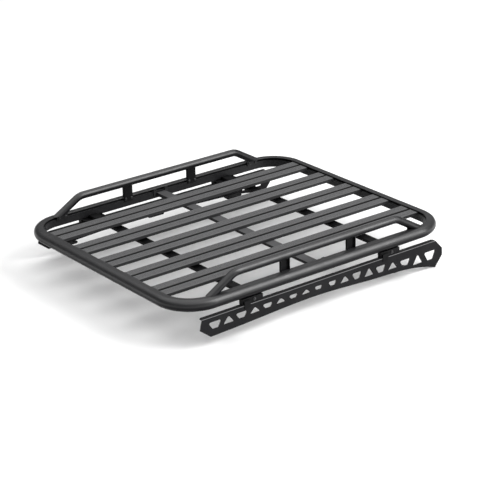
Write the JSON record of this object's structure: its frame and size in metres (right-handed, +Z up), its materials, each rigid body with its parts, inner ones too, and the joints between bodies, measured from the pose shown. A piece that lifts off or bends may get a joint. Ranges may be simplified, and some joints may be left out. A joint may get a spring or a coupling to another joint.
{
  "type": "roof cargo basket",
  "caption": "Flat slatted roof cargo platform with a rounded perimeter rail, a raised bar along each side, low legs and pierced roof spines.",
  "frame": {"origin": "centre of the bounding box, level with the lowest corner of the roof spines", "axes": "+X to the vehicle's right, +Y to its front, +Z up"},
  "size_m": [1.26, 1.53, 0.2951],
  "materials": {
    "rail_coat": "satin black powder coat",
    "bar_coat": "satin black powder coat",
    "plank_coat": "satin charcoal powder coat over ribbed extrusion",
    "black_coat": "fine textured black powder coat",
    "cross_coat": "satin charcoal powder coat",
    "spine_coat": "textured black powder coat",
    "cap_plastic": "moulded black plastic",
    "bolt_black": "black oxide steel",
    "nut_steel": "zinc-plated steel",
    "joiner_alloy": "mill finish",
    "pad_rubber": "matt"
  },
  "bodies": {
    "root": {"perimeter_rail_front": "rail_coat", "perimeter_rail_rear": "rail_coat", "side_bar_left": "bar_coat", "side_bar_right": "bar_coat", "plank_1": "plank_coat", "plank_2": "plank_coat", "plank_3": "plank_coat", "plank_4": "plank_coat", "plank_5": "plank_coat", "post_front_left": "black_coat", "post_front_right": "black_coat", "post_rear_left": "black_coat", "post_rear_right": "black_coat", "crossbar_front": "black_coat", "crossbar_rear": "black_coat", "leg_front_left": "black_coat", "leg_front_right": "black_coat", "leg_rear_left": "black_coat", "leg_rear_right": "black_coat", "crossmember_center": "cross_coat", "center_brackets": "cross_coat", "spine_left": "spine_coat", "spine_right": "spine_coat", "roof_feet_front": "spine_coat", "roof_feet_middle": "spine_coat", "roof_feet_rear": "spine_coat", "plank_caps_front": "cap_plastic", "plank_caps_rear": "cap_plastic", "plank_spacers_front": "cap_plastic", "plank_spacers_rear": "cap_plastic", "side_bar_bolts": "bolt_black", "leg_clamp_bolts": "bolt_black", "leg_rail_bolts": "bolt_black", "leg_base_bolts": "bolt_black", "plank_screws": "bolt_black", "joiner_screws": "bolt_black", "side_slot_nuts": "nut_steel", "leg_slot_nuts": "nut_steel", "leg_base_nuts": "nut_steel", "rail_joiner_left": "joiner_alloy", "rail_joiner_right": "joiner_alloy", "roof_pads": "pad_rubber"}
  },
  "joints": []
}
